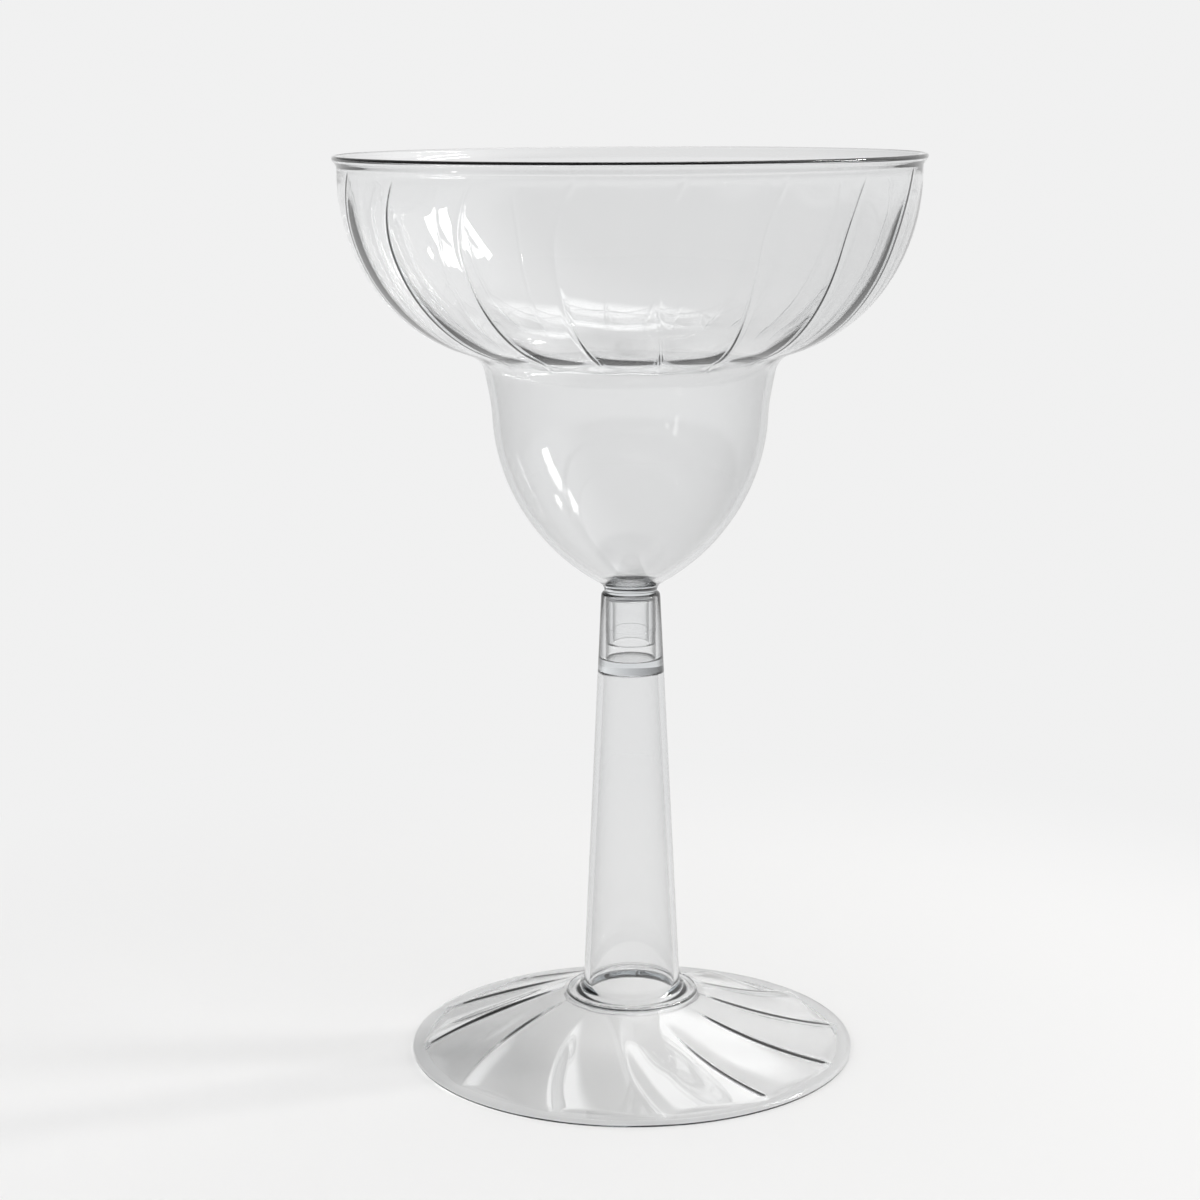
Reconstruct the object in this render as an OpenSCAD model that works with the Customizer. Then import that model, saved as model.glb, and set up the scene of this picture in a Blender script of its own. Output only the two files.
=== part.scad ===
// Margarita glass of clear moulded plastic, in two pieces: a bowl whose plug pushes
// into the socket of a hollow stem that is moulded in one with its swirled foot.
// Millimetres, +Z up, origin on the table under the middle of the foot.

/* [Foot] */
// Diameter of the foot
foot_d = 90; // [80:0.5:105]
// Thickness of the foot at its edge
foot_edge_t = 1.4; // [1:0.1:2]
// Height of the foot's cone where it meets the collar
foot_cone_h = 11.8; // [9:0.1:15]
// Wall of the foot under the hollows of the swirl
foot_wall = 1.3; // [0.9:0.05:1.8]
// Width of the flat ring outside the tips of the swirl
foot_ring_w = 1.6; // [1:0.1:4]
// Width of the flat ring that stands on the table
foot_rest_w = 5; // [3:0.1:7]
// Ridges of the swirl
swirl_count = 12; // [8:1:16]
// Depth of the swirl's hollows below its ridges
swirl_depth = 1.3; // [0.5:0.05:1.6]
// Turn of each ridge from the collar to its tip, in degrees
swirl_turn = 17; // [0:1:30]
// Height that the collar stands above the cone
collar_rise = 0.9; // [0.5:0.05:1.5]
// Width of the collar outside the stem's fillet
collar_w = 0.7; // [0.6:0.05:2]

/* [Stem] */
// Height of the stem's top rim above the table
stem_h = 94.6; // [80:0.1:110]
// Diameter of the stem just above its fillet
stem_low_d = 19.5; // [17:0.1:22]
// Wall of the stem where it meets the foot
stem_low_wall = 0.9; // [0.7:0.05:1.5]
// Wall of the stem under the socket's floor
stem_top_wall = 1.25; // [0.9:0.05:1.6]
// Radius of the fillet between stem and collar
stem_fillet = 2.4; // [1.5:0.1:3]
// Wall of the stem round the mouth of the socket
rim_wall = 0.75; // [0.65:0.05:1.2]
// Rounding of the stem's top rim
rim_round = 0.6; // [0.2:0.05:0.9]

/* [Joint] */
// Diameter of the socket in the top of the stem
socket_d = 10.2; // [9:0.05:11]
// Depth of the socket
socket_depth = 13.6; // [11.5:0.1:17]
// Thickness of the socket's floor
web_t = 2.4; // [1.6:0.1:4]
// Play between plug and socket, on the radius
plug_play = 0.03; // [0.01:0.01:0.06]
// Length of the plug below the stem's rim
plug_len = 10.4; // [8:0.1:11]
// Length of the relieved tip of the plug
tip_len = 2.8; // [1.5:0.1:4]
// Step down to the relieved tip, on the radius
tip_step = 0.18; // [0.1:0.02:0.4]
// Wall of the hollow plug
plug_wall = 1.4; // [1.2:0.05:2]
// Width of the neck's seat on the rim
seat_w = 0.15; // [0.1:0.01:0.25]

/* [Bowl] */
// Diameter of the bowl just under its lip
mouth_d = 112.4; // [102:0.2:122]
// Height of the wide upper bowl, from its shoulder to its lip
cup_h = 35.2; // [30:0.2:42]
// Largest radius of the round well under the upper bowl
well_r = 27.05; // [24:0.05:30]
// Height of that place above the stem's rim
well_h = 35.4; // [30:0.2:40]
// Growth of the radius from there to the waist
waist_flare = 1.35; // [0.8:0.05:2]
// Height from the widest place of the well to the waist
waist_rise = 8.5; // [6:0.1:11]
// Width of the shoulder's fillet
shoulder_w = 5.2; // [4:0.1:7]
// Height of the shoulder's fillet
shoulder_rise = 4.5; // [3.5:0.1:6]
// Width of the hollow throat between neck and well
throat_w = 1; // [0.8:0.05:1.6]
// Height of the throat above the stem's rim
throat_h = 2; // [1.6:0.1:3]
// Height of the straight neck
neck_h = 0.5; // [0.3:0.05:0.8]
// Wall of the bowl
bowl_wall = 1.3; // [1.1:0.05:1.7]
// Thickness of the rounded lip
lip_t = 2.2; // [1.9:0.05:2.8]
// Stand of the lip outside the bowl
lip_flare = 0.95; // [0.7:0.05:1.3]

/* [Flutes] */
// Flutes inside the upper bowl
flute_count = 18; // [12:1:24]
// Depth of a flute in the wall
flute_depth = 0.6; // [0.3:0.05:0.7]
// Sideways sway of the flutes near the lip, in degrees
flute_sway = 5; // [0:0.5:10]

/* [Hidden] */
$fn = 96;

bowl_tint = [0.86, 0.88, 0.9, 0.45];
stem_tint = [0.8, 0.83, 0.86, 0.5];
// Overrun of the cuts
over = 0.5;

socket_r = socket_d / 2;
plug_r = socket_r - plug_play;
neck_r = socket_r + seat_w;
stem_top_r = socket_r + rim_wall;
stem_low_r = stem_low_d / 2;

waist_r = well_r + waist_flare;
shoulder_r = waist_r + shoulder_w;
mouth_r = mouth_d / 2;
waist_h = well_h + waist_rise;
shoulder_h = waist_h + shoulder_rise;
mouth_h = shoulder_h + cup_h;
floor_h = throat_h + 0.4 * bowl_wall;
floor_r = neck_r - bowl_wall / 2;
lip_r = lip_t / 2;
lip_centre_r = mouth_r + lip_flare - lip_r;
lip_centre_h = mouth_h + lip_r;

// A cubic curve between two ends, each [radius, height, direction, handle length]
function handle(e, side) = [e[0] + side * e[3] * cos(e[2]), e[1] + side * e[3] * sin(e[2])];
function corners(e, f) = [[e[0], e[1]], handle(e, 1), handle(f, -1), [f[0], f[1]]];
function point_at(e, f, t) = let (c = corners(e, f), s = 1 - t)
    s * s * s * c[0] + 3 * s * s * t * c[1] + 3 * s * t * t * c[2] + t * t * t * c[3];
function slope_at(e, f, t) = let (c = corners(e, f), s = 1 - t)
    s * s * (c[1] - c[0]) + 2 * s * t * (c[2] - c[1]) + t * t * (c[3] - c[2]);
function inward_at(e, f, t) = let (v = slope_at(e, f, t)) [-v[1], v[0]] / norm(v);
function stretch(e, f, steps, inset) =
    [for (i = [1:steps]) point_at(e, f, i / steps) + inset * inward_at(e, f, i / steps)];

// Outer curves of the bowl, from the neck up to the lip
neck_end = [neck_r, neck_h, 78, (throat_h - neck_h) / 2];
throat_end = [neck_r + throat_w, throat_h, 29, throat_w / 2];
throat_start = [neck_r + throat_w, throat_h, 29, 0.36 * well_h];
well_end = [well_r, well_h, 88, 0.42 * well_h];
well_start = [well_r, well_h, 88, waist_rise / 3];
waist_end = [waist_r, waist_h, 80, waist_rise / 3];
waist_start = [waist_r, waist_h, 80, 0.55 * shoulder_rise];
shoulder_end = [shoulder_r, shoulder_h, 18, 0.6 * shoulder_w];
cup_start = [shoulder_r, shoulder_h, 18, 0.65 * (mouth_r - shoulder_r)];
cup_end = [mouth_r, mouth_h, 92, 0.46 * cup_h];

function bowl_line(inset) = concat(
    stretch(throat_start, well_end, 14, inset),
    stretch(well_start, waist_end, 2, inset),
    stretch(waist_start, shoulder_end, 6, inset),
    stretch(cup_start, cup_end, 14, inset)
);

// Skin over rings of points: closed by flat ends, or looped from the last ring to the first
module skin(rings, looped) {
    m = len(rings);
    n = len(rings[0]);
    sides = [
        for (i = [0:looped ? m - 1 : m - 2], j = [0:n - 1], half = [0, 1])
            let (
                a = i * n + j,
                b = i * n + (j + 1) % n,
                c = ((i + 1) % m) * n + j,
                d = ((i + 1) % m) * n + (j + 1) % n
            )
                half == 0 ? [a, b, c] : [b, d, c]
    ];
    ends = looped ? [] : [[for (j = [n - 1:-1:0]) j], [for (j = [0:n - 1]) (m - 1) * n + j]];
    polyhedron(points = [for (ring = rings) each ring], faces = concat(sides, ends), convexity = 6);
}

// Rings of the flutes from the lip down: place along the upper bowl, share of the depth
// that is lost there, and how far the ribs between the flutes stand up
flute_ring_shares = [
    [0.985, 2, 0], [0.96, 1.15, 1], [0.93, 0.75, 1], [0.89, 0.4, 1], [0.84, 0.2, 1],
    [0.77, 0.12, 1], [0.68, 0.1, 1], [0.58, 0.1, 1], [0.48, 0.1, 1], [0.38, 0.12, 1],
    [0.28, 0.2, 1], [0.19, 0.4, 1], [0.12, 0.75, 1], [0.07, 1.15, 1], [0.03, 2, 0]
];
flute_column_shares = [-0.5, -0.42, -0.25, 0, 0.25, 0.42];
// Angle of the first rib, and the place where the sway turns back
flute_first_angle = 5;
flute_turn_share = 0.68;

function flute_swing(t) = t > flute_turn_share
    ? flute_sway * pow((t - flute_turn_share) / (1 - flute_turn_share), 2)
    : 0.8 * flute_sway * pow((flute_turn_share - t) / flute_turn_share, 2);
function flute_ring(t, lost, rib) = [
    for (k = [0:flute_count - 1], u = flute_column_shares)
        let (
            depth = flute_depth * (1 - lost - 4 * rib * u * u),
            p = point_at(cup_start, cup_end, t) + (bowl_wall - depth) * inward_at(cup_start, cup_end, t),
            a = flute_first_angle + (k + 0.5 + u) * 360 / flute_count + flute_swing(t)
        )
            [p[0] * sin(a), -p[0] * cos(a), p[1]]
];

module fluted_core() {
    skin([for (s = flute_ring_shares) flute_ring(s[0], s[1], s[2])], false);
}

module bowl_outside() {
    rotate_extrude() {
        polygon(concat(
            [[0, 0], [neck_r, 0], [neck_r, neck_h]],
            stretch(neck_end, throat_end, 4, 0),
            bowl_line(0),
            [[mouth_r, lip_centre_h], [0, lip_centre_h]]
        ));
        translate([lip_centre_r, lip_centre_h]) circle(r = lip_r);
    }
}

module bowl_inside() {
    above = lip_centre_h + lip_r + over;
    rotate_extrude() polygon(concat(
        [[0, floor_h], [floor_r, floor_h]],
        bowl_line(bowl_wall),
        [[lip_centre_r - lip_r, lip_centre_h], [lip_centre_r, above], [0, above]]
    ));
}

module plug() {
    difference() {
        union() {
            translate([0, 0, -plug_len]) cylinder(h = plug_len, r = plug_r - tip_step);
            translate([0, 0, tip_len - plug_len]) cylinder(h = plug_len - tip_len + neck_h / 2, r = plug_r);
        }
        translate([0, 0, -plug_len - over])
            cylinder(h = plug_len - plug_wall + over, r = plug_r - plug_wall);
    }
}

module bowl() {
    color(bowl_tint) translate([0, 0, stem_h]) {
        difference() {
            bowl_outside();
            bowl_inside();
            fluted_core();
        }
        plug();
    }
}

foot_r = foot_d / 2;
tip_r = foot_r - foot_ring_w;
rest_r = foot_r - foot_rest_w;
collar_r = stem_low_r + stem_fillet + collar_w;
collar_h = foot_cone_h + collar_rise;
collar_round = 0.6 * min(collar_rise, collar_w);
stem_low_h = collar_h + stem_fillet;
web_low_h = stem_h - socket_depth - web_t;
function cone_radius(share) = collar_r + share * (tip_r - collar_r);
function cone_height(r) = foot_cone_h - (foot_cone_h - foot_edge_t) * (r - collar_r) / (tip_r - collar_r);
function stem_radius(z) =
    stem_low_r + (stem_top_r - stem_low_r) * (z - stem_low_h) / (stem_h - stem_low_h);

// Rings of the swirl from the collar out: place between collar and tips, and the share
// of the full depth that the hollows have there
swirl_ring_shares = [
    [-0.05, 0], [0.05, 0], [0.12, 0.12], [0.2, 0.35], [0.3, 0.62], [0.41, 0.82], [0.53, 0.93],
    [0.65, 1], [0.76, 1], [0.86, 1], [0.95, 1], [1.02, 0.25]
];
swirl_column_shares = [-0.5, -0.45, -0.36, -0.22, -0.05, 0.15, 0.32, 0.43];
// Angle of the first tip, lean of the hollows to one side, and how the turn gathers outwards
swirl_first_angle = 7.8;
swirl_lean_share = 0.12;
swirl_gather = 1.4;

function hollow_share(u) = let (v = u + swirl_lean_share * (1 - 4 * u * u)) 1 - 4 * v * v;
function swirl_lead(share) = swirl_turn * (pow(max(share, 0), swirl_gather) - 1);
function swirl_ring(share, depth_share) = [
    for (k = [0:swirl_count - 1], u = swirl_column_shares)
        let (
            r = cone_radius(share),
            z = cone_height(r) - swirl_depth * depth_share * hollow_share(u),
            a = swirl_first_angle + (k + 0.5 + u) * 360 / swirl_count + swirl_lead(share)
        )
            [r * sin(a), -r * cos(a), max(z, foot_edge_t / 2)]
];

module swirled_cone() {
    rings = [for (s = swirl_ring_shares) swirl_ring(s[0], s[1])];
    inner = [for (p = rings[0]) [p[0], p[1], foot_edge_t / 3]];
    outer = [for (p = rings[len(rings) - 1]) [p[0], p[1], foot_edge_t / 3]];
    skin(concat([inner], rings, [outer]), true);
}

module foot_ring() {
    rotate_extrude() {
        square([foot_r - foot_edge_t / 2, foot_edge_t]);
        translate([foot_r - foot_edge_t / 2, foot_edge_t / 2]) circle(d = foot_edge_t);
    }
}

module collar() {
    rotate_extrude() difference() {
        union() {
            square([collar_r, collar_h - collar_round]);
            square([collar_r - collar_round, stem_low_h]);
            translate([collar_r - collar_round, collar_h - collar_round]) circle(r = collar_round);
        }
        translate([stem_low_r + stem_fillet, stem_low_h]) circle(r = stem_fillet);
        translate([stem_low_r + stem_fillet, collar_h]) square([collar_r, stem_fillet + over]);
    }
}

module stem_outside() {
    rounding = min(rim_round, rim_wall - seat_w);
    rotate_extrude() {
        polygon([
            [0, 0], [stem_low_r, 0], [stem_low_r, stem_low_h],
            [stem_radius(stem_h - rounding), stem_h - rounding], [0, stem_h - rounding]
        ]);
        square([stem_top_r - rounding, stem_h]);
        translate([stem_top_r - rounding, stem_h - rounding]) circle(r = rounding);
    }
}

module hollow() {
    bore_low_r = stem_low_r - stem_low_wall;
    bore_top_r = stem_radius(web_low_h) - stem_top_wall;
    bore_round = stem_top_wall / 2;
    under_cone = [
        for (i = [len(swirl_ring_shares) - 1:-1:0])
            let (
                r = cone_radius(swirl_ring_shares[i][0]),
                z = cone_height(r) - swirl_depth * swirl_ring_shares[i][1] - foot_wall
            )
                if (r < rest_r - foot_wall && z > foot_edge_t / 2) [r, z]
    ];
    rotate_extrude() polygon(concat(
        [[0, -over], [rest_r, -over], [rest_r, 0]],
        under_cone,
        [[bore_low_r, collar_h - foot_wall / 2], [bore_top_r, web_low_h - bore_round]],
        [[bore_top_r - bore_round / 3, web_low_h - bore_round / 3]],
        [[bore_top_r - bore_round, web_low_h], [0, web_low_h]]
    ));
}

module socket() {
    translate([0, 0, stem_h - socket_depth]) cylinder(h = socket_depth + over, r = socket_r);
}

module stem_and_foot() {
    color(stem_tint) difference() {
        union() {
            foot_ring();
            swirled_cone();
            collar();
            stem_outside();
        }
        hollow();
        socket();
    }
}

bowl();
stem_and_foot();
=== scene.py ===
"""Looks of a two-piece margarita glass of clear moulded plastic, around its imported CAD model."""

import math
from typing import NamedTuple

import bpy
from bpy.props import FloatProperty, FloatVectorProperty, IntProperty, PointerProperty
from mathutils import Euler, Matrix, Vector


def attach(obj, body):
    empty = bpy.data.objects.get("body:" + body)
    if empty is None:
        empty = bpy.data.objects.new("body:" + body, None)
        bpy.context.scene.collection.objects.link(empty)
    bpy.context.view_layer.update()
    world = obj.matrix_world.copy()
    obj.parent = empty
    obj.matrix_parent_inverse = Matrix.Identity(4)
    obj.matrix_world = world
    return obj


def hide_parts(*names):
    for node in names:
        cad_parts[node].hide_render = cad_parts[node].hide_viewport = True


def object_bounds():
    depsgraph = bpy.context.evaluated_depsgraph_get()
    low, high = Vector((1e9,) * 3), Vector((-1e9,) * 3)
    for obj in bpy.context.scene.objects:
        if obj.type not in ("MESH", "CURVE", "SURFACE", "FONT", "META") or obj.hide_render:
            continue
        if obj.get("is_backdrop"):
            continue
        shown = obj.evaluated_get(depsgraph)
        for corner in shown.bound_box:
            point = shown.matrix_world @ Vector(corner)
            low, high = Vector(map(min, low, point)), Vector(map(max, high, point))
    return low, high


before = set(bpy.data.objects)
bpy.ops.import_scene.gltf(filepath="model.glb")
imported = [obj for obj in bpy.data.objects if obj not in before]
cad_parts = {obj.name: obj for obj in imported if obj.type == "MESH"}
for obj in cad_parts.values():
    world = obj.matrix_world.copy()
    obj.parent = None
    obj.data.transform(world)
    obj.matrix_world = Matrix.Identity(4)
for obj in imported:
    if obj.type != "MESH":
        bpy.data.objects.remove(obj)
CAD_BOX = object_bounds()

bl_info = {
    "name": "Margarita glass",
    "version": (1, 0, 0),
    "blender": (4, 5, 0),
    "location": "View3D > Sidebar > Glass",
    "description": "Builds a fluted margarita glass, its plastic and its studio",
    "category": "Object",
}

TURN = 2 * math.pi

# Mesh columns to a flute or a hollow, and how far they crowd towards the ribs
BOWL_MESH = {"Columns": 16, "Gather": 0.8}
FOOT_MESH = {"Columns": 30, "Gather": 0.6}

# Heights over which painted shade begins on a wall's edges, and the bottom and top of the joint
WELL_EDGE_SHADE = (0.143, 0.137)
STEM_EDGE_SHADE = (0.013, 0.02)
# Between these heights the joint's walls get painted light, and painted shade at their upright
# edges
PLUG_PAINT_ZONE = (0.078, 0.0953)
SOCKET_PAINT_ZONE = (0.0786, 0.0953)
ZONE_BLEND = 0.0004

# Place and target of each lamp, its sizes in metres, its watts and its colour
LAMPS = (
    ("sun_right", (0.91, 0.33, 0.78), (0, 0, 0.1), (0.09, 0.09), 3, (1, 0.98, 0.95)),
    ("window_right", (0.98, 0.05, 0.72), (0, 0, 0.14), (0.14, 0.62), 4, (1, 0.99, 0.98)),
)
FLOOR_LAP = 0.0001  # the floor stands this far up the foot, so that no two faces coincide
SENSOR_WIDTH = 36  # of the camera, in millimetres


def length(name, description, metres):
    return FloatProperty(
        name=name, description=description, default=metres, min=0, unit="LENGTH", precision=5,
    )


def angle(name, description, degrees):
    default = math.radians(degrees)
    return FloatProperty(name=name, description=description, default=default, unit="ROTATION")


def share(name, description, value):
    return FloatProperty(
        name=name, description=description, default=value, min=0, max=1, subtype="FACTOR",
    )


def number(name, description, value):
    return FloatProperty(name=name, description=description, default=value)


def amount(name, description, value):
    return IntProperty(name=name, description=description, default=value, min=3)


class JointSizes(bpy.types.PropertyGroup):
    """The push fit between bowl and stem"""

    stem_height: length("Stem height", "Height of the stem's top rim above the table", 0.0946)
    socket_diameter: length("Socket diameter", "Bore in the top of the stem", 0.0102)
    play: length("Play", "Gap between plug and socket, on the radius", 0.00003)
    seat_width: length("Seat width", "Ring of the neck that rests on the rim", 0.00015)


class BowlSizes(bpy.types.PropertyGroup):
    """The bowl with its plug"""

    plug_length: length("Plug length", "Length of the plug below the stem's rim", 0.0104)
    plug_wall: length("Plug wall", "Wall of the hollow plug", 0.0014)
    tip_length: length("Tip length", "Relieved end of the plug", 0.0028)
    tip_step: length("Tip step", "Step down to the relieved end, on the radius", 0.00018)
    mouth_diameter: length("Mouth diameter", "Bowl just under its lip", 0.1124)
    cup_height: length("Upper bowl height", "From the shoulder to the lip", 0.0352)
    well_radius: length("Well radius", "Largest radius of the round well", 0.02705)
    well_height: length("Well height", "Height of that place above the stem's rim", 0.0354)
    waist_flare: length("Waist flare", "Growth of the radius from there to the waist", 0.00135)
    waist_rise: length("Waist rise", "Height from there to the waist", 0.0085)
    shoulder_width: length("Shoulder width", "Width of the shoulder's fillet", 0.0052)
    shoulder_rise: length("Shoulder rise", "Height of the shoulder's fillet", 0.0045)
    throat_width: length("Throat width", "Width of the hollow throat over the neck", 0.001)
    throat_height: length("Throat height", "Height of the throat above the stem's rim", 0.002)
    neck_height: length("Neck height", "Height of the straight neck", 0.0005)
    wall: length("Wall", "Thickness of the bowl", 0.0013)
    lip_height: length("Lip height", "Height of the flared lip", 0.0022)
    lip_edge: length("Lip edge", "Diameter of the lip's rounded edge", 0.0011)
    lip_flare: length("Lip flare", "Stand of the lip outside the bowl", 0.00095)
    flutes: amount("Flutes", "Flutes inside the upper bowl", 18)
    flute_depth: length("Flute depth", "Depth of a flute in the wall", 0.0003)
    flute_edge: length("Flute edge", "Softness of the edge between flute and rib", 0.0001)
    flute_sway: angle("Flute sway", "Sideways sway of the flutes near the lip", 5)
    first_rib: angle("First rib", "Place of the first rib, from the front", 5)
    rib_height: length("Rib height", "Stand of the thin bead on a rib", 0.0001)
    rib_width: share("Rib width", "Half of that bead's width, as a share of a flute", 0.035)


class FootSizes(bpy.types.PropertyGroup):
    """The hollow stem and its swirled foot"""

    foot_diameter: length("Foot diameter", "Diameter of the foot", 0.09)
    edge_thickness: length("Edge thickness", "Thickness of the foot at its edge", 0.0014)
    cone_height: length("Cone height", "Height of the cone at the collar", 0.0118)
    wall: length("Foot wall", "Wall under the hollows of the swirl", 0.0013)
    ring_width: length("Ring width", "Flat ring outside the tips of the swirl", 0.0016)
    rest_width: length("Rest width", "Flat ring that stands on the table", 0.0026)
    ridges: amount("Ridges", "Ridges of the swirl", 12)
    ridge_round: share("Ridge rounding", "Roundness of the ridges against the hollows", 0.4)
    swirl_depth: length("Swirl depth", "Depth of the hollows below the ridges", 0.0012)
    swirl_lean: share("Swirl lean", "Lean of the hollows to one side", 0.12)
    swirl_turn: angle("Swirl turn", "Turn of a ridge from the collar to its tip", 17)
    first_tip: angle("First tip", "Place of the first tip, from the front", 7.8)
    collar_rise: length("Collar rise", "Height of the collar above the cone", 0.0003)
    collar_width: length("Collar width", "Collar outside the stem's fillet", 0.0009)
    stem_diameter: length("Stem diameter", "Stem just above its fillet", 0.0195)
    low_wall: length("Low wall", "Wall of the stem at the foot", 0.0009)
    top_wall: length("Top wall", "Wall of the stem under the socket's floor", 0.00125)
    fillet: length("Fillet", "Radius between stem and collar", 0.0024)
    rim_wall: length("Rim wall", "Wall round the mouth of the socket", 0.00075)
    rim_round: length("Rim rounding", "Rounding of the stem's top rim", 0.0006)
    socket_depth: length("Socket depth", "Depth of the socket", 0.0136)
    web: length("Web", "Thickness of the socket's floor", 0.0024)


class PlasticLook(bpy.types.PropertyGroup):
    """The clear plastic of both pieces"""

    tint: FloatVectorProperty(
        name="Tint", description="Colour that thick plastic lets through",
        subtype="COLOR", default=(0.5, 0.56, 0.6), min=0, max=1,
    )
    bowl_clear: share("Bowl clear", "Light that the bowl's wall lets through", 0.945)
    stem_clear: share("Stem clear", "The same for the wall of stem and foot", 0.943)
    # Painted light: the joint's walls get a clearer colour than the rest, so the joint looks
    # lighter
    joint_clear_painted_light: share("Joint clear", "The same for each of the joint's walls", 0.985)
    bowl_shade: share("Bowl shade", "Lamp light that the bowl lets through to the floor", 0.86)
    stem_shade: share("Stem shade", "The same for stem and foot", 0.76)
    density: number("Density", "How fast thick plastic takes light, per metre", 40)
    ior: number("IOR", "Index of refraction of polystyrene", 1.59)
    # Painted shade that darkens the plastic's colour where stem or well is seen along its wall
    painted_edge_shade: share("Edge loss", "Light lost where stem or well is seen along its wall", 0.52)
    # Painted shade that darkens the plastic's colour at the edges of the joint's upright walls
    painted_joint_shade: share("Joint loss", "Light lost at the edges of the joint's upright walls", 0.6)
    ripple: length("Ripple", "Height of the moulding's faint flow ripples", 0.000008)
    bowl_ripples: number("Bowl ripples", "Ripples to a metre of the bowl", 160)
    stem_ripples: number("Stem ripples", "Ripples to a metre of stem and foot", 120)
    haze: share("Haze", "Roughness of the plastic where it has been handled", 0.03)


class StudioLook(bpy.types.PropertyGroup):
    """The stage, its light and the camera"""

    background: number("Background", "Brightness of floor and backdrop", 0.878)
    room_light: number("Room light", "Plain light that the room casts on the floor", 0.765)
    room_dim: number("Room dim", "Brightness of the room in front, at the left", 0.18)
    room_back: number("Room back", "Brightness of the room behind, over the backdrop", 0.6)
    room_bright: number("Room bright", "Brightness of the opening overhead", 2.6)
    room_window: number("Room window", "Brightness of the opening at the right", 1.3)
    backdrop_top: share("Backdrop top", "Backdrop's edge over the horizon, as a sine", 0.1)
    floor_radius: length("Floor radius", "Radius of the floor", 3)
    distance: length("Distance", "Camera to the axis of the glass", 0.5077)
    height: length("Height", "Camera above the floor", 0.19355)
    aside: length("Aside", "Camera to the left of the axis", 0.0061)
    pitch: angle("Pitch", "Camera's look down", 11.216)
    roll: angle("Roll", "Camera's tilt to the right", 0.29)
    lens: number("Lens", "Focal length in millimetres", 78.1)


# Profiles: rows of points from axis to axis round the wall of a piece


class Row(NamedTuple):
    radius: float
    height: float
    turn: float = 0  # share of the way along the carved stretch, for the sway or swirl
    carve: float = 0  # 1 where the surface is carved
    push: tuple = (0, 0)  # direction of the carving, radius and height
    low: float = 0  # lowest height that the carving leaves


def on_circle(radius, height, size, degrees):
    """The point at an angle on a circle round (radius, height)"""
    a = math.radians(degrees)
    return radius + size * math.cos(a), height + size * math.sin(a)


def handle(end, side):
    """Where the handle of a curve's end points, on one side of it or the other"""
    radius, height, degrees, reach = end
    return Vector(on_circle(radius, height, side * reach, degrees))


def bend(start, end, steps, inset=0, turn=(0, 0), carve=0):
    """Rows on a cubic curve between two ends, each (radius, height, direction, reach)"""
    a, b, c, d = Vector(start[:2]), handle(start, 1), handle(end, -1), Vector(end[:2])
    rows = []
    for i in range(1, steps + 1):
        t = i / steps
        s = 1 - t
        point = s ** 3 * a + 3 * s * s * t * b + 3 * s * t * t * c + t ** 3 * d
        slope = s * s * (b - a) + 2 * s * t * (c - b) + t * t * (d - c)
        inward = Vector((-slope.y, slope.x)).normalized()
        spot = point + inset * inward
        along = turn[0] + t * (turn[1] - turn[0])
        rows.append(Row(spot.x, spot.y, along, carve, (-inward.x, -inward.y)))
    return rows


def arc(radius, height, size, first, last, steps, turn=0):
    """Rows on part of a circle, from one angle to another in degrees"""
    angles = [first + (last - first) * i / steps for i in range(steps + 1)]
    return [Row(*on_circle(radius, height, size, a), turn) for a in angles]


GUARD = 0.4  # distance of the row that guards a rounding's shading, as a share of its easing


def eased(corners, turn=0, steps=4):
    """Rows along straight lines, with each corner (radius, height, easing) rounded off"""
    rows = []
    for i, (radius, height, easing) in enumerate(corners):
        corner = Vector((radius, height))
        if not easing:
            rows.append(Row(radius, height, turn))
            continue
        before = (Vector(corners[i - 1][:2]) - corner).normalized()
        after = (Vector(corners[i + 1][:2]) - corner).normalized()
        a, b = corner + easing * before, corner + easing * after
        points = [a + GUARD * easing * before]
        for j in range(steps + 1):
            t = j / steps
            points.append((1 - t) ** 2 * a + 2 * t * (1 - t) * corner + t * t * b)
        points.append(b + GUARD * easing * after)
        rows += [Row(p.x, p.y, turn) for p in points]
    return rows


# Directions of the bowl's outside at its key points, in degrees over the level
NECK_WAY, THROAT_WAY, WELL_WAY, WAIST_WAY, SHOULDER_WAY, MOUTH_WAY = 78, 29, 88, 80, 18, 92
LIP_UNDER, LIP_OVER = -38, 150  # angles between which the lip's edge is round
FLUTE_START = -0.16  # share of the way at which the flutes begin, on the shoulder's fillet
FLOOR_RISE = 0.4  # height of the well's floor over the throat, in walls


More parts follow.
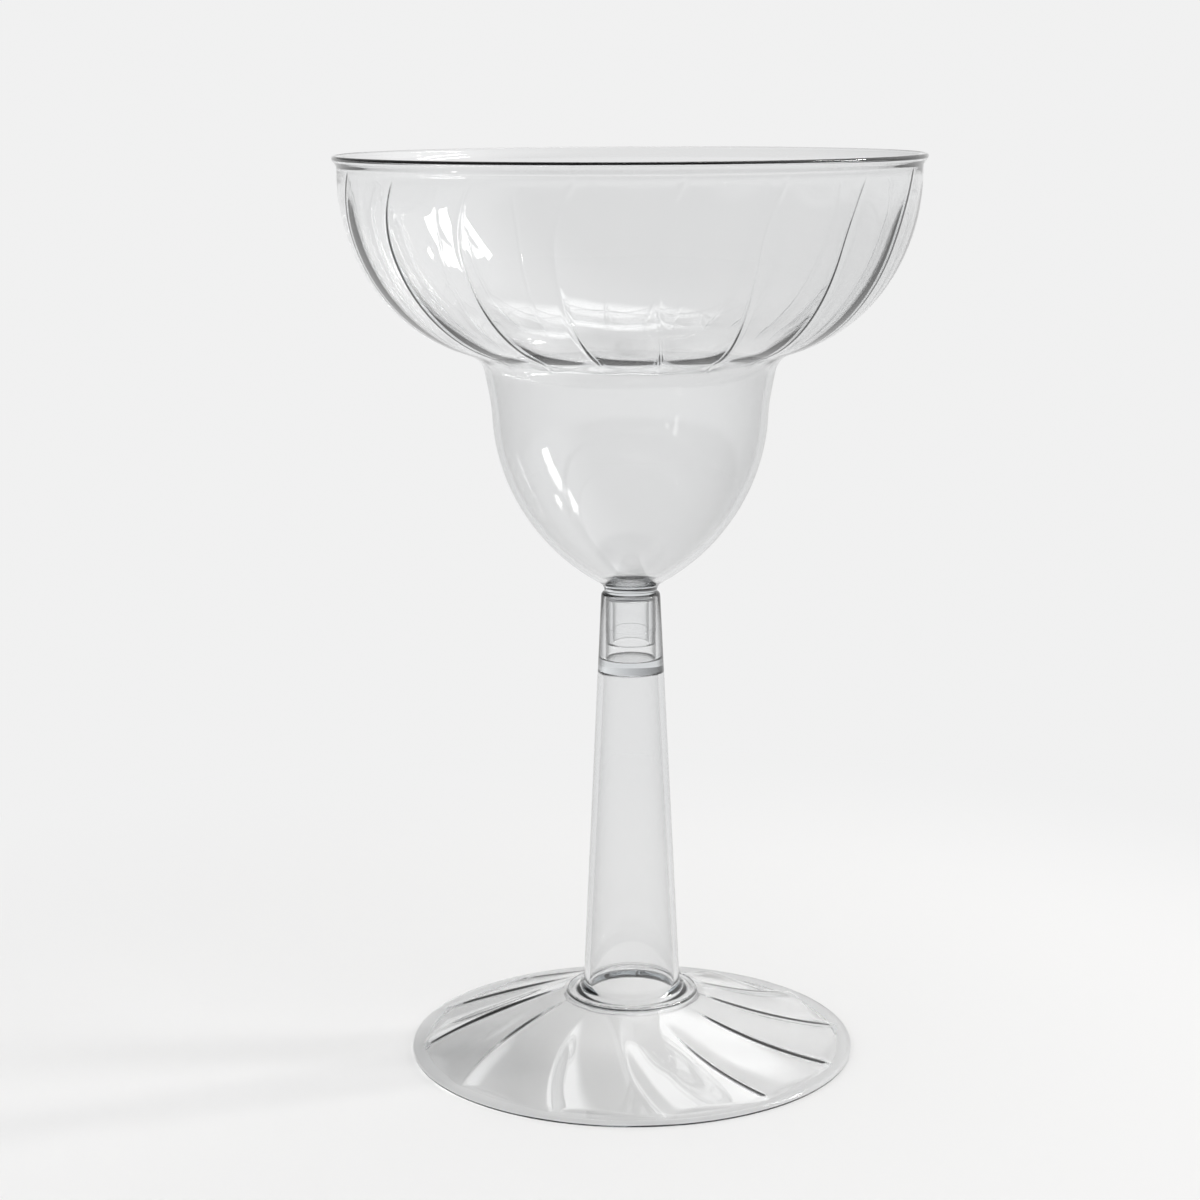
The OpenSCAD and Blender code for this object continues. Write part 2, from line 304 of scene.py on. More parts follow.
def bowl_rows(joint, bowl):
    socket = joint.socket_diameter / 2
    plug = socket - joint.play
    tip = plug - bowl.tip_step
    bore = plug - bowl.plug_wall
    neck = socket + joint.seat_width
    throat = neck + bowl.throat_width
    waist = bowl.well_radius + bowl.waist_flare
    shoulder = waist + bowl.shoulder_width
    mouth = bowl.mouth_diameter / 2
    low = joint.stem_height
    throat_z = low + bowl.throat_height
    neck_z = low + bowl.neck_height
    well_z = low + bowl.well_height
    waist_z = well_z + bowl.waist_rise
    shoulder_z = waist_z + bowl.shoulder_rise
    mouth_z = shoulder_z + bowl.cup_height
    edge = bowl.lip_edge / 2
    lip_r = mouth + bowl.lip_flare - edge
    lip_z = mouth_z + bowl.lip_height - edge
    floor_z = throat_z + FLOOR_RISE * bowl.wall
    hollow_z = low - bowl.plug_wall
    end_z = low - bowl.plug_length
    tip_z = end_z + bowl.tip_length
    half = bowl.lip_height / 2

    def well(inset, carve=0):
        below = (FLUTE_START, FLUTE_START)
        return bend(
            (throat, throat_z, THROAT_WAY, 0.36 * bowl.well_height),
            (bowl.well_radius, well_z, WELL_WAY, 0.42 * bowl.well_height), 38, inset, below,
        ) + bend(
            (bowl.well_radius, well_z, WELL_WAY, bowl.waist_rise / 3),
            (waist, waist_z, WAIST_WAY, bowl.waist_rise / 3), 5, inset, below,
        ) + bend(
            (waist, waist_z, WAIST_WAY, 0.55 * bowl.shoulder_rise),
            (shoulder, shoulder_z, SHOULDER_WAY, 0.6 * bowl.shoulder_width), 14, inset,
            (FLUTE_START, 0), carve,
        )

    def cup(steps, inset, carve):
        return bend(
            (shoulder, shoulder_z, SHOULDER_WAY, 0.65 * (mouth - shoulder)),
            (mouth, mouth_z, MOUTH_WAY, 0.46 * bowl.cup_height), steps, inset, (0, 1), carve,
        )

    def on_lip(degrees):
        """End of a curve that meets the lip's round edge at an angle"""
        return (*on_circle(lip_r, lip_z, edge, degrees), degrees + 90, half / 2)

    hollow_ease, end_ease, step_ease, seat_ease, floor_ease = 0.0004, 0.0003, 7e-5, 5e-5, 0.0006
    plug_rows = eased([
        (0, hollow_z, 0), (bore, hollow_z, hollow_ease), (bore, end_z, end_ease),
        (tip, end_z, end_ease), (tip, tip_z, step_ease), (plug, tip_z, step_ease),
        (plug, low, seat_ease), (neck, low, seat_ease), (neck, neck_z, 0),
    ], steps=3)
    neck_rows = bend(
        (neck, neck_z, NECK_WAY, (bowl.throat_height - bowl.neck_height) / 2),
        (throat, throat_z, THROAT_WAY, bowl.throat_width / 2), 5,
    )
    inside = list(reversed(well(bowl.wall, 1) + cup(102, bowl.wall, 1)))
    brink, centre = inside[0], inside[-1]
    lip_rows = bend(
        (mouth, mouth_z - 0.4 * half, MOUTH_WAY, 0.7 * half), on_lip(LIP_UNDER), 12, turn=(1, 1),
    )[:-1] + arc(lip_r, lip_z, edge, LIP_UNDER, LIP_OVER, 16, 1) + bend(
        on_lip(LIP_OVER), (brink.radius, brink.height, MOUTH_WAY + 180, half / 2), 10, turn=(1, 1),
    )[:-1]
    floor_rows = eased([
        (centre.radius, centre.height, 0),
        (neck - bowl.wall / 2, floor_z, floor_ease),
        (0, floor_z, 0),
    ])[1:]
    outside = plug_rows + neck_rows + well(0) + cup(40, 0, 0)[:-2]
    return outside + lip_rows + inside + floor_rows


STEM_STEPS, CONE_STEPS = 14, 92
CONE_CROWDING = 0.85  # below 1 the cone's rows crowd towards the tips of its ridges
UNDER_STEP = 0.0007  # between the rows under the foot
UNDER_LOWEST = 0.0002  # height that the carving leaves under the foot


def foot_rows(joint, foot):
    top = joint.stem_height
    socket = joint.socket_diameter / 2
    stem_low = foot.stem_diameter / 2
    stem_top = socket + foot.rim_wall
    rounding = min(foot.rim_round, foot.rim_wall - joint.seat_width)
    collar = stem_low + foot.fillet + foot.collar_width
    collar_z = foot.cone_height + foot.collar_rise
    collar_round = 0.9 * min(foot.collar_rise, foot.collar_width)
    stem_low_z = collar_z + foot.fillet
    edge = foot.edge_thickness / 2
    rim = foot.foot_diameter / 2
    tip = rim - foot.ring_width
    rest = rim - foot.rest_width
    floor_z = top - foot.socket_depth
    web_z = floor_z - foot.web

    def along(radius):
        return max(0, (radius - collar) / (tip - collar))

    def cone_z(radius):
        slope = (foot.cone_height - foot.edge_thickness) / (tip - collar)
        return foot.cone_height - slope * (radius - collar)

    def stem_r(height):
        return stem_low + (stem_top - stem_low) * (height - stem_low_z) / (top - stem_low_z)

    socket_ease, mouth_ease, cone_ease, gap = 0.0005, 0.0001, 0.00035, 0.0002
    rows = eased([
        (0, floor_z, 0), (socket, floor_z, socket_ease), (socket, top, mouth_ease),
        (socket + joint.seat_width, top, 0),
    ])
    rows += arc(stem_top - rounding, top - rounding, rounding, 80, 0, 8)
    high, low = top - rounding - gap, stem_low_z + gap
    heights = (high + (low - high) * i / STEM_STEPS for i in range(STEM_STEPS + 1))
    rows += [Row(stem_r(z), z) for z in heights]
    rows += arc(stem_low + foot.fillet, stem_low_z, foot.fillet, 180, 270, 14)
    rows += arc(collar - collar_round, collar_z - collar_round, collar_round, 90, 25, 6)
    rows += eased([
        (rows[-1].radius, rows[-1].height, 0), (collar, foot.cone_height, cone_ease),
        (tip, foot.edge_thickness, 0),
    ])[1:-1]

    # The carved cone, down to a little past the tips of its ridges
    first, last = rows[-1].radius, tip + 0.0006
    for i in range(1, CONE_STEPS + 1):
        radius = first + (last - first) * (i / CONE_STEPS) ** CONE_CROWDING
        rows.append(Row(radius, cone_z(radius), along(radius), 1, low=foot.edge_thickness))

    # The flat ring, its rounded edge, and the ring that the foot stands on
    outer, inner = along(rim), along(rest)
    guard = rim - edge - 0.0001
    rows += [Row(r, foot.edge_thickness, outer) for r in (tip + 0.0008, guard)]
    rows += arc(rim - edge, edge, edge, 88, -88, 12, outer)
    rows += [Row(guard, 0, outer), Row(rest + 0.0003, 0, inner), Row(rest, 0.00004, inner)]

    # The underside, which follows the ridges, and the stem's bore
    radius = rest - 0.0008
    while radius > collar + gap:
        rows.append(Row(radius, cone_z(radius) - foot.wall, along(radius), 1, low=UNDER_LOWEST))
        radius -= UNDER_STEP
    rows += eased([
        (rows[-1].radius, rows[-1].height, 0),
        (stem_low - foot.low_wall, collar_z - foot.wall, foot.fillet / 2),
        (stem_r(web_z) - foot.top_wall, web_z, foot.top_wall / 2),
        (0, web_z, 0),
    ], steps=8)[1:]
    return rows[::-1]


# Node trees: each value is a Rule, so that the shapes read as arithmetic


def feed(tree, socket, value):
    if isinstance(value, Rule):
        value = value.socket
    if isinstance(value, bpy.types.NodeSocket):
        tree.links.new(value, socket)
    else:
        socket.default_value = value


NODES_IN_COLUMN = 8
NODE_SPACING = (220, 180)


def place(tree, kind, inputs=(), **settings):
    """A new node with its settings and inputs"""
    node = tree.nodes.new(kind)
    for name, value in settings.items():
        setattr(node, name, value)
    for name, value in dict(inputs).items():
        feed(tree, node.inputs[name], value)
    column, line = divmod(len(tree.nodes), NODES_IN_COLUMN)
    node.location = (column * NODE_SPACING[0], -line * NODE_SPACING[1])
    return node


def parts(tree, vector):
    """The three numbers of a vector"""
    node = place(tree, "ShaderNodeSeparateXYZ", {0: vector})
    return [Rule(tree, socket) for socket in node.outputs]


class Rule:
    """A number in a node tree; each sign of arithmetic on it adds a Math node"""

    def __init__(self, tree, socket):
        self.tree, self.socket = tree, socket

    def math(self, operation, *others):
        node = place(
            self.tree, "ShaderNodeMath", enumerate((self, *others)), operation=operation,
        )
        return Rule(self.tree, node.outputs[0])

    def __add__(self, other):
        return self.math("ADD", other)

    def __sub__(self, other):
        return self.math("SUBTRACT", other)

    def __mul__(self, other):
        return self.math("MULTIPLY", other)

    def __truediv__(self, other):
        return self.math("DIVIDE", other)

    def __pow__(self, other):
        return self.math("POWER", other)

    def __neg__(self):
        return self.math("MULTIPLY", -1)

    def __rsub__(self, other):
        return -self + other

    __radd__ = __add__
    __rmul__ = __mul__

    def floor(self):
        return self.math("FLOOR")

    def sine(self):
        return self.math("SINE")

    def cosine(self):
        return self.math("COSINE")

    def absolute(self):
        return self.math("ABSOLUTE")

    def least(self, low):
        return self.math("MAXIMUM", low)

    def most(self, high):
        return self.math("MINIMUM", high)

    def above(self, low, blend):
        """The larger of this and low, blended over a short distance"""
        return self.math("SMOOTH_MAX", low, blend)

    def eased(self, low, high):
        """0 at low, 1 at high, and eased between"""
        inputs = {"Value": self, "From Min": low, "From Max": high}
        node = place(self.tree, "ShaderNodeMapRange", inputs, interpolation_type="SMOOTHSTEP")
        return Rule(self.tree, node.outputs[0])


def new_tree(name, kind, inputs, outputs):
    """A node tree with named sockets, and its inputs as a dictionary"""
    tree = bpy.data.node_groups.new(name, kind)
    for direction, sockets in (("INPUT", inputs), ("OUTPUT", outputs)):
        for label, sort, value in sockets:
            socket = tree.interface.new_socket(name=label, in_out=direction, socket_type=sort)
            if value is not None:
                socket.default_value = value
    entry = place(tree, "NodeGroupInput")
    return tree, {label: Rule(tree, entry.outputs[label]) for label, _, _ in inputs}


COMMON_INPUTS = [
    ("Profile", "NodeSocketGeometry", None),
    ("Columns", "NodeSocketInt", 16),
    ("Repeats", "NodeSocketInt", 12),
    ("Depth", "NodeSocketFloat", 0.001),
    ("First angle", "NodeSocketFloat", 0.0),
    ("Turn", "NodeSocketFloat", 0.1),
    ("Gather", "NodeSocketFloat", 0.7),
    ("Material", "NodeSocketMaterial", None),
]


ROUND_GUARD = 0.0001  # keeps a whole number whole when it is a little short of itself
WELD = 1e-6  # distance at which the seam's and the poles' points become one


class Lathe:
    """What both lathe trees share: a grid with a row for each point of the profile"""

    def __init__(self, name, inputs):
        outputs = [("Piece", "NodeSocketGeometry", None)]
        self.tree, self.given = new_tree(name, "GeometryNodeTree", COMMON_INPUTS + inputs, outputs)
        tree, given = self.tree, self.given
        size = place(
            tree, "GeometryNodeAttributeDomainSize", {"Geometry": given["Profile"]},
            component="MESH",
        )
        across = given["Columns"] * given["Repeats"] + 1
        self.grid = place(tree, "GeometryNodeMeshGrid", {
            "Vertices X": size.outputs["Point Count"], "Vertices Y": across,
        })
        index = Rule(tree, place(tree, "GeometryNodeInputIndex").outputs[0])
        self.row = ((index + 0.5) / across).floor()
        phase = (index - self.row * across) / given["Columns"]
        self.repeat = (phase + ROUND_GUARD).floor()
        even = phase - self.repeat - 0.5
        # Columns crowd towards the ribs, where the surface bends most
        self.u = even + given["Gather"] * (even * TURN).sine() / TURN
        spot = self.sample("FLOAT_VECTOR", place(tree, "GeometryNodeInputPosition").outputs[0])
        self.radius, _, self.height = parts(tree, spot)
        self.share = Rule(tree, self.named("FLOAT", "turn"))
        self.carve = Rule(tree, self.named("FLOAT", "carve"))

    def named(self, kind, name):
        """A named attribute of the profile, at the point of this row"""
        node = place(
            self.tree, "GeometryNodeInputNamedAttribute", {"Name": name}, data_type=kind,
        )
        return self.sample(kind, node.outputs[0])

    def sample(self, kind, value):
        node = place(self.tree, "GeometryNodeSampleIndex", data_type=kind)
        for name, source in (
            ("Geometry", self.given["Profile"]), ("Value", value), ("Index", self.row),
        ):
            feed(self.tree, node.inputs[name], source)
        return node.outputs[0]

    def close(self, radius, height, lead):
        """Wraps the rows round the axis, closes seam and poles, and ends the tree"""
        tree, given = self.tree, self.given
        turn = given["First angle"] + (self.repeat + 0.5 + self.u) * TURN / given["Repeats"] + lead
        spot = place(tree, "ShaderNodeCombineXYZ", {
            "X": radius * turn.sine(), "Y": -(radius * turn.cosine()), "Z": height,
        })
        mesh = self.grid.outputs["Mesh"]
        for kind, inputs in (
            ("SetPosition", {"Position": spot.outputs[0]}),
            ("MergeByDistance", {"Distance": WELD}),
            ("FlipFaces", {}),
            ("SetShadeSmooth", {}),
            ("RealizeInstances", {}),
            ("SetMaterial", {"Material": given["Material"]}),
        ):
            mesh = place(tree, f"GeometryNode{kind}", {0: mesh, **inputs}).outputs[0]
        place(tree, "NodeGroupOutput", {"Piece": mesh})
        return tree


# Shares of the way where flutes and ribs are in full, where each begins to fade, and their end
FLUTE_FULL, FLUTE_FADE, RIB_FADE, FLUTE_END = 0.1, 0.76, 0.93, 1.0
SWAY_SHARE = 0.68  # share of the way at which the ribs turn back
SWAY_LOW = 0.8  # sway under that place, against the sway over it
SWIRL_GROWTH = 0.56  # share of the way over which the hollows get deep
SWIRL_BEND = 1.4  # over 1 the ridges turn more towards their tips
SWIRL_EDGE = 0.00005  # softness of the edge between a hollow and the flat ring


def fluted_lathe():
    """The bowl: flutes carved outwards into the inside of its wall, between thin ribs that sway"""
    lathe = Lathe("fluted_lathe", [
        ("Edge", "NodeSocketFloat", 0.0001), ("Rib", "NodeSocketFloat", 0.0002),
        ("Rib width", "NodeSocketFloat", 0.05),
    ])
    given, t, u = lathe.given, lathe.share, lathe.u
    # Across, a flute is a parabola, which gets narrower past 0.74 of the way and below 0.12 of it
    over = ((t - 0.74) / 0.22).least(0)
    under = ((0.12 - t) / 0.25).least(0)
    lost = 0.1 + 1.05 * over ** 3 + 1.05 * under ** 3
    begun = t.eased(FLUTE_START, FLUTE_FULL)
    flute = (given["Depth"] * (1 - lost - 4 * u * u)).above(0, given["Edge"])
    beside = (1 - ((0.5 - u.absolute()) / given["Rib width"]) ** 2).least(0)
    bead = given["Rib"] * beside * beside * begun * t.eased(FLUTE_END, RIB_FADE)
    depth = (flute * (begun * t.eased(FLUTE_END, FLUTE_FADE)) - bead) * lathe.carve
    high = ((t - SWAY_SHARE) / (1 - SWAY_SHARE)).least(0)
    low = ((SWAY_SHARE - t.least(0)) / SWAY_SHARE).least(0)
    lead = given["Turn"] * (high * high + SWAY_LOW * low * low)
    push_r, _, push_z = parts(lathe.tree, lathe.named("FLOAT_VECTOR", "push"))
    return lathe.close(lathe.radius + depth * push_r, lathe.height + depth * push_z, lead)


def swirled_lathe():
    """Stem and foot: leaning hollows in the cone, between ridges that turn as they go out"""
    lathe = Lathe("swirled_lathe", [
        ("Lean", "NodeSocketFloat", 0.12), ("Ridge", "NodeSocketFloat", 0.06),
    ])
    given, u = lathe.given, lathe.u
    v = u + given["Lean"] * (1 - 4 * u * u)
    bare = (1 - 4 * v * v).least(0)
    hollow = bare * bare * (1 + given["Ridge"]) / (bare + given["Ridge"])
    depth = given["Depth"] * hollow * lathe.share.eased(0, SWIRL_GROWTH)
    lowest = Rule(lathe.tree, lathe.named("FLOAT", "low"))
    carved = (lathe.height - depth).above(lowest, SWIRL_EDGE)
    height = lathe.height + (carved - lathe.height) * lathe.carve
    lead = given["Turn"] * (lathe.share ** SWIRL_BEND - 1)
    return lathe.close(lathe.radius, height, lead)


def turned_piece(name, rows, tree, values):
    """The piece that a lathe tree makes of its profile, as a plain mesh"""
    mesh = bpy.data.meshes.new(name)
    mesh.from_pydata([(row.radius, 0, row.height) for row in rows], [], [])
    for label, kind in (
        ("turn", "FLOAT"), ("carve", "FLOAT"), ("low", "FLOAT"), ("push", "FLOAT_VECTOR"),
    ):
        layer = mesh.attributes.new(label, kind, "POINT")
        for spot, row in zip(layer.data, rows):
            if kind == "FLOAT":
                spot.value = getattr(row, label)
            else:
                spot.vector = (row.push[0], 0, row.push[1])
    piece = bpy.data.objects.new(name, mesh)
    bpy.context.scene.collection.objects.link(piece)
    modifier = piece.modifiers.new("lathe", "NODES")
    modifier.node_group = tree
    sockets = {s.name: s.identifier for s in tree.interface.items_tree if s.in_out == "INPUT"}
    for label, value in values.items():
        modifier[sockets[label]] = value
    graph = bpy.context.evaluated_depsgraph_get()
    done = bpy.data.meshes.new_from_object(piece.evaluated_get(graph))
    done.name = name
    while done.materials and done.materials[0] is None:
        done.materials.pop(index=0)
    piece.modifiers.clear()
    piece.data = done
    if not len(done.polygons):
        raise RuntimeError(f"{name} has no faces")
    return piece


# Materials


def flow_ripple():
    """Height of the faint waves that the flow of the plastic leaves in a moulding"""
    tree, given = new_tree("flow_ripple", "ShaderNodeTree", [
        ("Vector", "NodeSocketVector", None), ("Wave", "NodeSocketFloat", 160.0),
        ("Height", "NodeSocketFloat", 1.0),
    ], [("Height", "NodeSocketFloat", None)])
    finer, fine_share = 3.7, 0.2
    broad, fine = [Rule(tree, place(tree, "ShaderNodeTexNoise", {
        "Vector": given["Vector"], "Scale": scale, "Detail": 1.0, "Roughness": 0.4,
    }).outputs[0]) for scale in (given["Wave"], given["Wave"] * finer)]
    place(tree, "NodeGroupOutput", {"Height": (broad + fine_share * fine) * given["Height"]})
    return tree


def handling_haze():
    """Roughness of a polished moulding: soft patches, and the ring that rubs on tables"""
    tree, given = new_tree("handling_haze", "ShaderNodeTree", [
        ("Vector", "NodeSocketVector", None), ("Patches", "NodeSocketFloat", 60.0),
        ("Clear", "NodeSocketFloat", 0.0), ("Hazy", "NodeSocketFloat", 0.03),
        ("Rubbed", "NodeSocketFloat", 0.2),
    ], [("Roughness", "NodeSocketFloat", None)])
    noise = place(tree, "ShaderNodeTexNoise", {
        "Vector": given["Vector"], "Scale": given["Patches"], "Detail": 3.0,
    })
    patch = place(tree, "ShaderNodeMapRange", {
        "Value": noise.outputs[0], "From Min": 0.5, "From Max": 0.75,
        "To Min": given["Clear"], "To Max": given["Hazy"],
    })
    _, _, height = parts(tree, given["Vector"])
    rubbed = place(tree, "ShaderNodeMapRange", {
        "Value": height, "From Min": 0.0003, "From Max": 0.0,
        "To Min": 0.0, "To Max": given["Rubbed"],
    })
    roughness = Rule(tree, patch.outputs[0]).least(rubbed.outputs[0])
    place(tree, "NodeGroupOutput", {"Roughness": roughness})
    return tree


def bare_material(name):
    """A material without nodes, its tree, and the place on the object that is shaded"""
    material = bpy.data.materials.new(name)
    material.use_nodes = True
    material.node_tree.nodes.clear()
    spot = place(material.node_tree, "ShaderNodeTexCoord").outputs["Object"]
    return material, material.node_tree, spot


def shared(tree, name, inputs):
    """One of the shared effects, with its own values"""
    group = place(tree, "ShaderNodeGroup", node_tree=bpy.data.node_groups[name])
    for label, value in inputs.items():
        feed(tree, group.inputs[label], value)
    return group.outputs[0]


JOINT_SHADE_FACING = (0.35, 0.6)  # how far a wall of the joint faces away where its painted shade sets in and is in full
DARKEST_PAINTED_SHADE = 0.1  # least share of its colour that the painted shade leaves at an edge


def clear_plastic(name, look, ripples, clear, shade, wall, joint):
    """Clear moulded plastic, with its flow ripples and its haze; lamps shine through it

    Painted shade darkens its colour towards the edges of its walls, which begin between the two
    heights of wall, and of the upright walls between the two heights of joint, which also get
    painted light.
    """
    material, tree, spot = bare_material(name)
    ripple = shared(tree, "flow_ripple", {"Vector": spot, "Wave": ripples, "Height": 1.0})
    haze = shared(tree, "handling_haze", {
        "Vector": spot, "Patches": 60.0, "Clear": 0.0, "Hazy": look.haze, "Rubbed": 0.2,
    })
    bump = place(tree, "ShaderNodeBump", {
        "Strength": 1.0, "Distance": look.ripple, "Height": ripple,
    })
    _, _, height = parts(tree, spot)
    _, _, level = parts(tree, place(tree, "ShaderNodeNewGeometry").outputs["Normal"])
    along = Rule(tree, place(tree, "ShaderNodeLayerWeight", {"Blend": 0.5}).outputs["Facing"])
    over = height.eased(joint[1] - ZONE_BLEND, joint[1])
    painted_joint_zone = height.eased(joint[0], joint[0] + ZONE_BLEND) * (1 - over)
    # Painted shade: the colour darkens where a wall is seen along it
    painted_shade = look.painted_edge_shade * along * along * height.eased(*wall)
    # Painted shade at the edges of the joint's upright walls
    painted_shade += look.painted_joint_shade * painted_joint_zone * along.eased(*JOINT_SHADE_FACING)
    left_by_painted_shade = (1 - painted_shade * (1 - level * level)).least(DARKEST_PAINTED_SHADE)
    # Painted light: the joint's walls get a clearer colour than the rest
    left = (clear + (look.joint_clear_painted_light - clear) * painted_joint_zone) * left_by_painted_shade
    let_through = place(tree, "ShaderNodeCombineColor", {0: left, 1: left, 2: left})
    plastic = place(tree, "ShaderNodeBsdfPrincipled", {
        "Base Color": let_through.outputs[0], "Metallic": 0.0, "IOR": look.ior,
        "Transmission Weight": 1.0, "Roughness": haze, "Normal": bump.outputs[0],
    })
    through = place(tree, "ShaderNodeBsdfTransparent", {"Color": (shade, shade, shade, 1)})
    mixed = place(tree, "ShaderNodeMixShader", {
        0: place(tree, "ShaderNodeLightPath").outputs["Is Shadow Ray"],
        1: plastic.outputs[0], 2: through.outputs[0],
    })
    depth = place(tree, "ShaderNodeVolumeAbsorption", {
        "Color": (*look.tint, 1), "Density": look.density,
    })
    place(tree, "ShaderNodeOutputMaterial", {
        "Surface": mixed.outputs[0], "Volume": depth.outputs[0],
    })
    return material


SHADOW_SHARE = 0.85  # share of the floor's tone round the foot that comes from the lamps
SHADOW_REACH = (0.1, 0.24)  # distances from the axis between which that share falls to none


def floor_paint(look):
    """Pale floor that takes the glass's shadow, and is as bright as the backdrop further out"""
    material, tree, spot = bare_material("floor_paint")
    away = place(tree, "ShaderNodeVectorMath", {0: spot}, operation="LENGTH").outputs["Value"]
    near = SHADOW_SHARE * (1 - Rule(tree, away).eased(*SHADOW_REACH))
    tone = (look.background, look.background, look.background, 1)
    lit = place(tree, "ShaderNodeBsdfDiffuse", {"Color": tone})
    plain = place(tree, "ShaderNodeEmission", {"Color": tone, "Strength": 1.0})
    mixed = place(tree, "ShaderNodeMixShader", {0: near, 1: plain.outputs[0], 2: lit.outputs[0]})
    place(tree, "ShaderNodeOutputMaterial", {"Surface": mixed.outputs[0]})
    return material


# The room's two openings: the way to each, and the cosines where it begins and is in full
OVERHEAD, OVERHEAD_EDGE = (0.12, 0.52, 0.85), (0.95, 0.99)
WINDOW, WINDOW_EDGE = (0.8, 0.3, 0.55), (0.85, 0.97)
BACKDROP_BLEND = 0.1  # height over which the backdrop gives way to the room, as a sine


def studio_world(look):
    """A backdrop that ends just over the horizon, and over it a dim room to mirror"""
    world = bpy.data.worlds.new("studio")
    bpy.context.scene.world = world
    world.use_nodes = True
    tree = world.node_tree
    tree.nodes.clear()
    way = place(tree, "ShaderNodeTexCoord").outputs["Generated"]
    aside, behind, up = parts(tree, way)
    # The room is dim in front and at the left, and gets brighter towards the back and the right
    back = look.room_back * (1 + 0.9 * aside)
    back_share = (0.45 * aside + 0.9 * behind).eased(-0.45, 0.25)
    room = look.room_dim + (back - look.room_dim) * back_share
    for spot, tone, edge in (
        (OVERHEAD, look.room_bright, OVERHEAD_EDGE), (WINDOW, look.room_window, WINDOW_EDGE),
    ):
        way_there = Vector(spot).normalized()
        near = place(tree, "ShaderNodeVectorMath", {0: way, 1: way_there}, operation="DOT_PRODUCT")
        room = room + (tone - room) * Rule(tree, near.outputs["Value"]).eased(*edge)
    backdrop = look.background
    over = up.eased(look.backdrop_top, look.backdrop_top + BACKDROP_BLEND)
    seen = backdrop + (room - backdrop) * over
    path = place(tree, "ShaderNodeLightPath")
    shown, mirrored, bent = [
        Rule(tree, path.outputs[f"Is {ray} Ray"]) for ray in ("Camera", "Glossy", "Transmission")
    ]
    picture = (mirrored + bent).most(1)
    unseen = picture * seen + (1 - picture) * look.room_light
    tone = shown * backdrop + (1 - shown) * unseen
    colour = place(tree, "ShaderNodeCombineColor", {0: tone, 1: tone, 2: tone})
    sky = place(tree, "ShaderNodeBackground", {"Color": colour.outputs[0], "Strength": 1.0})
    place(tree, "ShaderNodeOutputWorld", {"Surface": sky.outputs[0]})


def lamp(name, spot, aim, size, watts, tone):
    """A soft rectangular lamp at spot that shines at aim"""
    light = bpy.data.lights.new(name, "AREA")
    light.shape = "RECTANGLE"
    light.size, light.size_y = size
    light.energy = watts
    light.color = tone
    holder = bpy.data.objects.new(name, light)
    holder.location = spot
    holder.rotation_euler = (Vector(aim) - Vector(spot)).to_track_quat("-Z", "Y").to_euler()
    bpy.context.scene.collection.objects.link(holder)


class GLASS_OT_finishes(bpy.types.Operator):
    """Builds the effects that the plastic of both pieces shares"""

    bl_idname = "glass.finishes"
    bl_label = "Shared finishes"

    def execute(self, context):
        flow_ripple()
        handling_haze()
        return {"FINISHED"}


class GLASS_OT_bowl(bpy.types.Operator):
    """Builds the fluted bowl with its lip, well and plug"""

    bl_idname = "glass.bowl"
    bl_label = "Fluted bowl"

    def execute(self, context):
        sizes = context.scene.glass_bowl
        look = context.scene.glass_plastic
        rows = bowl_rows(context.scene.glass_joint, sizes)
        bowl = turned_piece("fluted_bowl", rows, fluted_lathe(), {
            **BOWL_MESH,
            "Repeats": sizes.flutes,
            "Depth": sizes.flute_depth,
            "First angle": sizes.first_rib,
            "Turn": sizes.flute_sway,
            "Edge": sizes.flute_edge,
            "Rib": sizes.rib_height,
            "Rib width": sizes.rib_width,
            "Material": clear_plastic(
                "clear_bowl_plastic", look, look.bowl_ripples, look.bowl_clear, look.bowl_shade,
                WELL_EDGE_SHADE, PLUG_PAINT_ZONE,
            ),
        })
        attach(bowl, "bowl")
        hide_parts("bowl")
        return {"FINISHED"}


class GLASS_OT_stem(bpy.types.Operator):
    """Builds the hollow stem with its socket, collar and swirled foot"""

    bl_idname = "glass.stem"
    bl_label = "Stem and swirled foot"

    def execute(self, context):
        sizes = context.scene.glass_foot
        look = context.scene.glass_plastic
        rows = foot_rows(context.scene.glass_joint, sizes)
        stem = turned_piece("stem_and_swirled_foot", rows, swirled_lathe(), {
            **FOOT_MESH,
            "Repeats": sizes.ridges,
            "Depth": sizes.swirl_depth,
            "First angle": sizes.first_tip,
            "Turn": sizes.swirl_turn,
            "Lean": sizes.swirl_lean,
            "Ridge": sizes.ridge_round,
            "Material": clear_plastic(
                "clear_stem_plastic", look, look.stem_ripples, look.stem_clear, look.stem_shade,
                STEM_EDGE_SHADE, SOCKET_PAINT_ZONE,
            ),
        })
        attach(stem, "stem_and_foot")
        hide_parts("stem_and_foot")
        return {"FINISHED"}


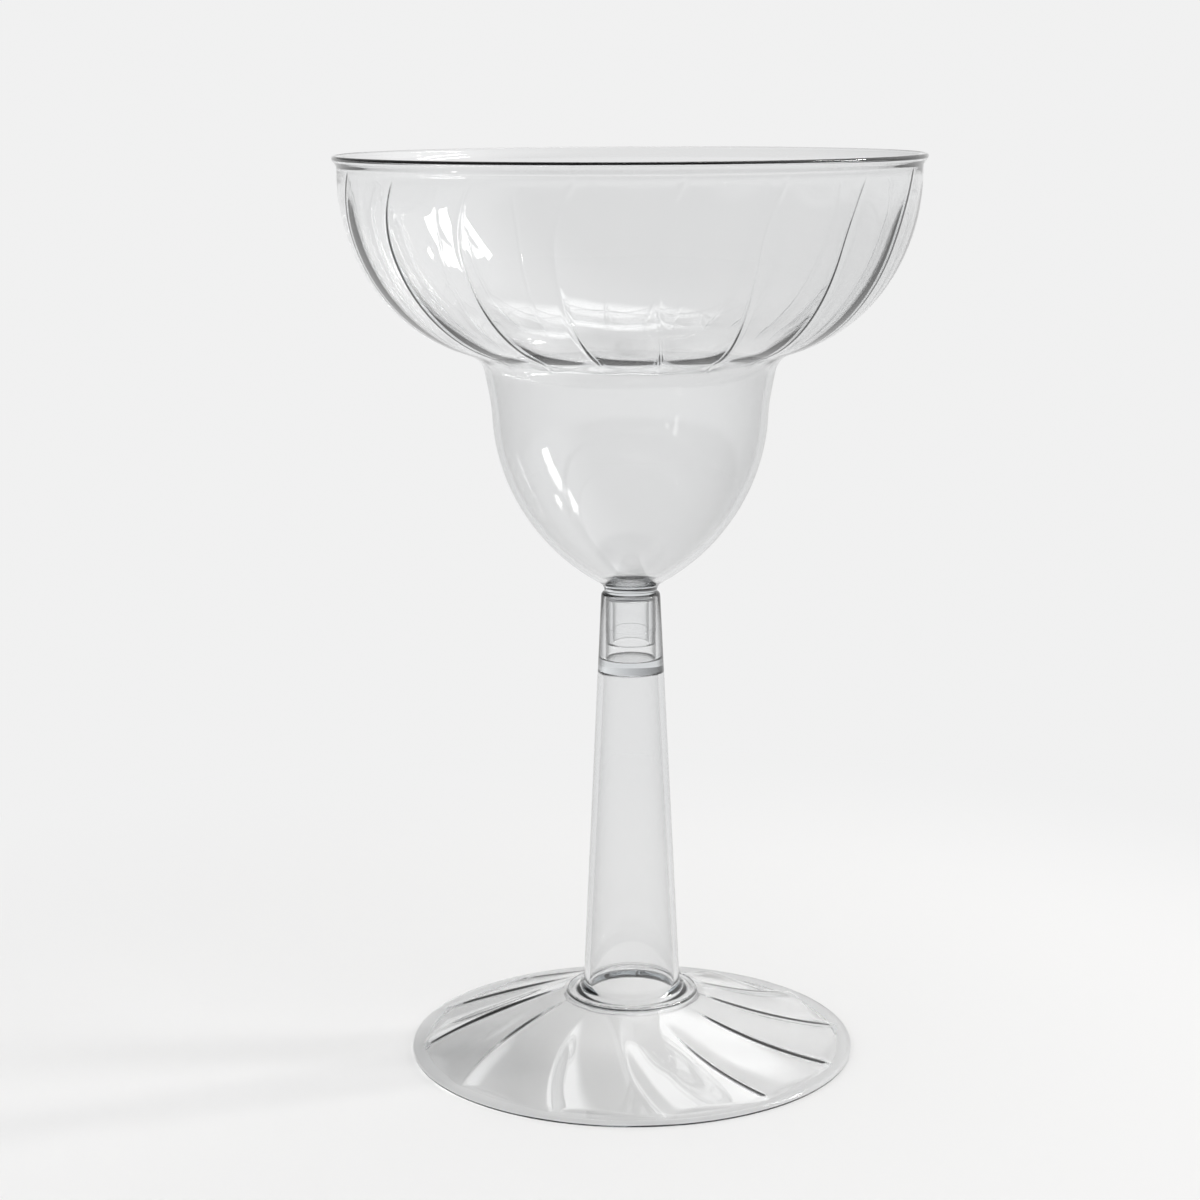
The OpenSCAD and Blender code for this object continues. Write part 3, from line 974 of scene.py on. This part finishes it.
class GLASS_OT_studio(bpy.types.Operator):
    """Builds the floor, the backdrop, the lamps and the camera"""

    bl_idname = "glass.studio"
    bl_label = "Studio"

    def execute(self, context):
        look = context.scene.glass_studio
        scene = context.scene
        scene.view_settings.view_transform = "Standard"
        bpy.ops.mesh.primitive_circle_add(
            vertices=96, radius=look.floor_radius, fill_type="NGON", location=(0, 0, FLOOR_LAP),
        )
        floor = context.active_object
        floor.name = "studio_floor"
        floor.data.materials.append(floor_paint(look))
        floor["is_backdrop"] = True
        studio_world(look)
        for details in LAMPS:
            lamp(*details)
        lens = bpy.data.cameras.new("photo_camera")
        lens.lens = look.lens
        lens.sensor_width = SENSOR_WIDTH
        camera = bpy.data.objects.new("photo_camera", lens)
        camera.location = (-look.aside, -look.distance, look.height)
        pitched = Euler((math.pi / 2 - look.pitch, 0, 0)).to_matrix()
        camera.rotation_euler = (pitched @ Euler((0, 0, -look.roll)).to_matrix()).to_euler()
        scene.collection.objects.link(camera)
        scene.camera = camera
        return {"FINISHED"}


class GLASS_PT_panel(bpy.types.Panel):
    """Lists the pieces of the glass and their sizes"""

    bl_idname = "GLASS_PT_panel"
    bl_label = "Margarita glass"
    bl_space_type = "VIEW_3D"
    bl_region_type = "UI"
    bl_category = "Glass"

    def draw(self, context):
        for operator in OPERATORS:
            self.layout.operator(operator.bl_idname)
        for label in GROUPS:
            group = getattr(context.scene, label)
            box = self.layout.box()
            for name in group.__annotations__:
                box.prop(group, name)


GROUPS = {
    "glass_joint": JointSizes,
    "glass_bowl": BowlSizes,
    "glass_foot": FootSizes,
    "glass_plastic": PlasticLook,
    "glass_studio": StudioLook,
}
OPERATORS = (GLASS_OT_finishes, GLASS_OT_bowl, GLASS_OT_stem, GLASS_OT_studio)
CLASSES = (*GROUPS.values(), *OPERATORS, GLASS_PT_panel)


def register():
    for item in CLASSES:
        bpy.utils.register_class(item)
    for name, group in GROUPS.items():
        setattr(bpy.types.Scene, name, PointerProperty(type=group))


def unregister():
    for name in GROUPS:
        delattr(bpy.types.Scene, name)
    for item in reversed(CLASSES):
        bpy.utils.unregister_class(item)


def corners(box):
    return [[round(float(x), 6) for x in corner] for corner in box]


def main():
    register()
    bpy.ops.glass.finishes()
    bpy.ops.glass.bowl()
    bpy.ops.glass.stem()
    bpy.ops.glass.studio()
    {"cad": corners(CAD_BOX), "visual": corners(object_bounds())}


if __name__ == "__main__":
    main()
